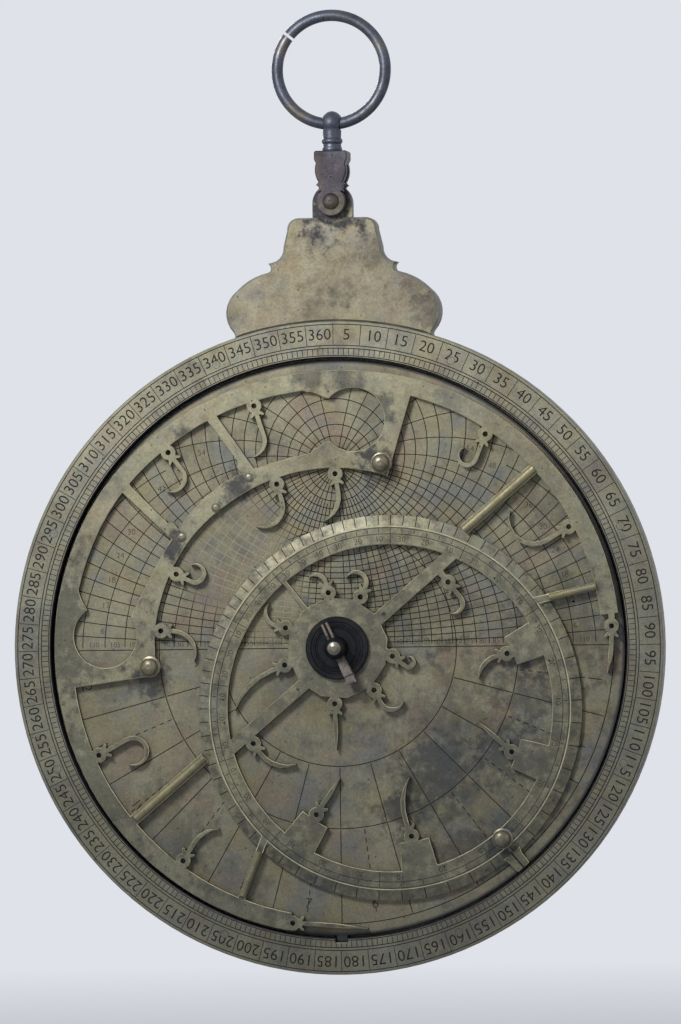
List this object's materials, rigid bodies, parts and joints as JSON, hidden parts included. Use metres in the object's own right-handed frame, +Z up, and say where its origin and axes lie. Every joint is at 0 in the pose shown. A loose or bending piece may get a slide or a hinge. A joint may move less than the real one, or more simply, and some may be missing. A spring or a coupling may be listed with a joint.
{
  "type": "planispheric astrolabe",
  "caption": "Hanging planispheric astrolabe: round case with latitude plates, turning openwork star map held by a pin and wedge, sighting bar on the back, throne, yoke and ring.",
  "frame": {"origin": "top of the inside of the hanging ring, where a hook or a thumb carries it, in the middle of the thickness", "axes": "+Z up, -Y out of the front face with the star map, +X to the viewer's right"},
  "size_m": [0.18, 0.0339, 0.266],
  "materials": {
    "aged_brass": "satin",
    "plate_brass": "satin",
    "star_brass": "satin",
    "bronze": "satin",
    "blackened_brass": "satin"
  },
  "bodies": {
    "ring": {"suspension_ring": "bronze"},
    "eye": {"swivel_eye": "bronze"},
    "yoke": {"yoke": "bronze", "yoke_rivet": "bronze"},
    "case": {"throne": "aged_brass", "throne_dowel_1": "aged_brass", "throne_dowel_2": "aged_brass", "throne_dowel_3": "aged_brass", "back_plate": "aged_brass", "rim": "aged_brass", "rim_rivet_1": "aged_brass", "rim_rivet_2": "aged_brass", "rim_rivet_3": "aged_brass", "rim_rivet_4": "aged_brass", "rim_rivet_5": "aged_brass", "rim_rivet_6": "aged_brass", "rim_rivet_7": "aged_brass", "rim_rivet_8": "aged_brass", "plate_1": "plate_brass", "plate_2": "plate_brass", "plate_3": "plate_brass", "plate_4": "plate_brass"},
    "map": {"star_map": "star_brass", "knob_1": "star_brass", "knob_2": "star_brass", "knob_3": "star_brass", "strap_rivet_1": "star_brass", "strap_rivet_2": "star_brass", "strap_rivet_3": "star_brass", "map_rib_1": "star_brass", "map_rib_2": "star_brass", "map_rib_3": "star_brass", "map_rib_4": "star_brass"},
    "pin": {"pin": "star_brass", "washer": "blackened_brass"},
    "wedge": {"wedge": "plate_brass"},
    "sighting_bar": {"alidade": "aged_brass", "vane_1": "aged_brass", "vane_2": "aged_brass"}
  },
  "joints": [
    {"name": "eye_swing", "type": "hinge", "parent": "ring", "child": "eye", "pos_m": [0, 0, -0.0284], "axis": [1, 0, 0], "range_deg": [-115, 115]},
    {"name": "yoke_turn", "type": "hinge", "parent": "eye", "child": "yoke", "pos_m": [0, 0, -0.0499], "axis": [0, 0, 1], "continuous": true},
    {"name": "case_swing", "type": "hinge", "parent": "yoke", "child": "case", "pos_m": [0, 0, -0.0499], "axis": [0, 1, 0], "range_deg": [-85, 85]},
    {"name": "map_turn", "type": "hinge", "parent": "case", "child": "map", "pos_m": [0, 0, -0.1728], "axis": [0, 1, 0], "continuous": true},
    {"name": "pin_turn", "type": "hinge", "parent": "case", "child": "pin", "pos_m": [0, 0, -0.1728], "axis": [0, 1, 0], "continuous": true},
    {"name": "wedge_slide", "type": "slide", "parent": "pin", "child": "wedge", "axis": [0.4226, 0, -0.9063], "range_m": [0, 0.014]},
    {"name": "sighting_bar_turn", "type": "hinge", "parent": "case", "child": "sighting_bar", "pos_m": [0, 0, -0.1728], "axis": [0, 1, 0], "continuous": true}
  ]
}
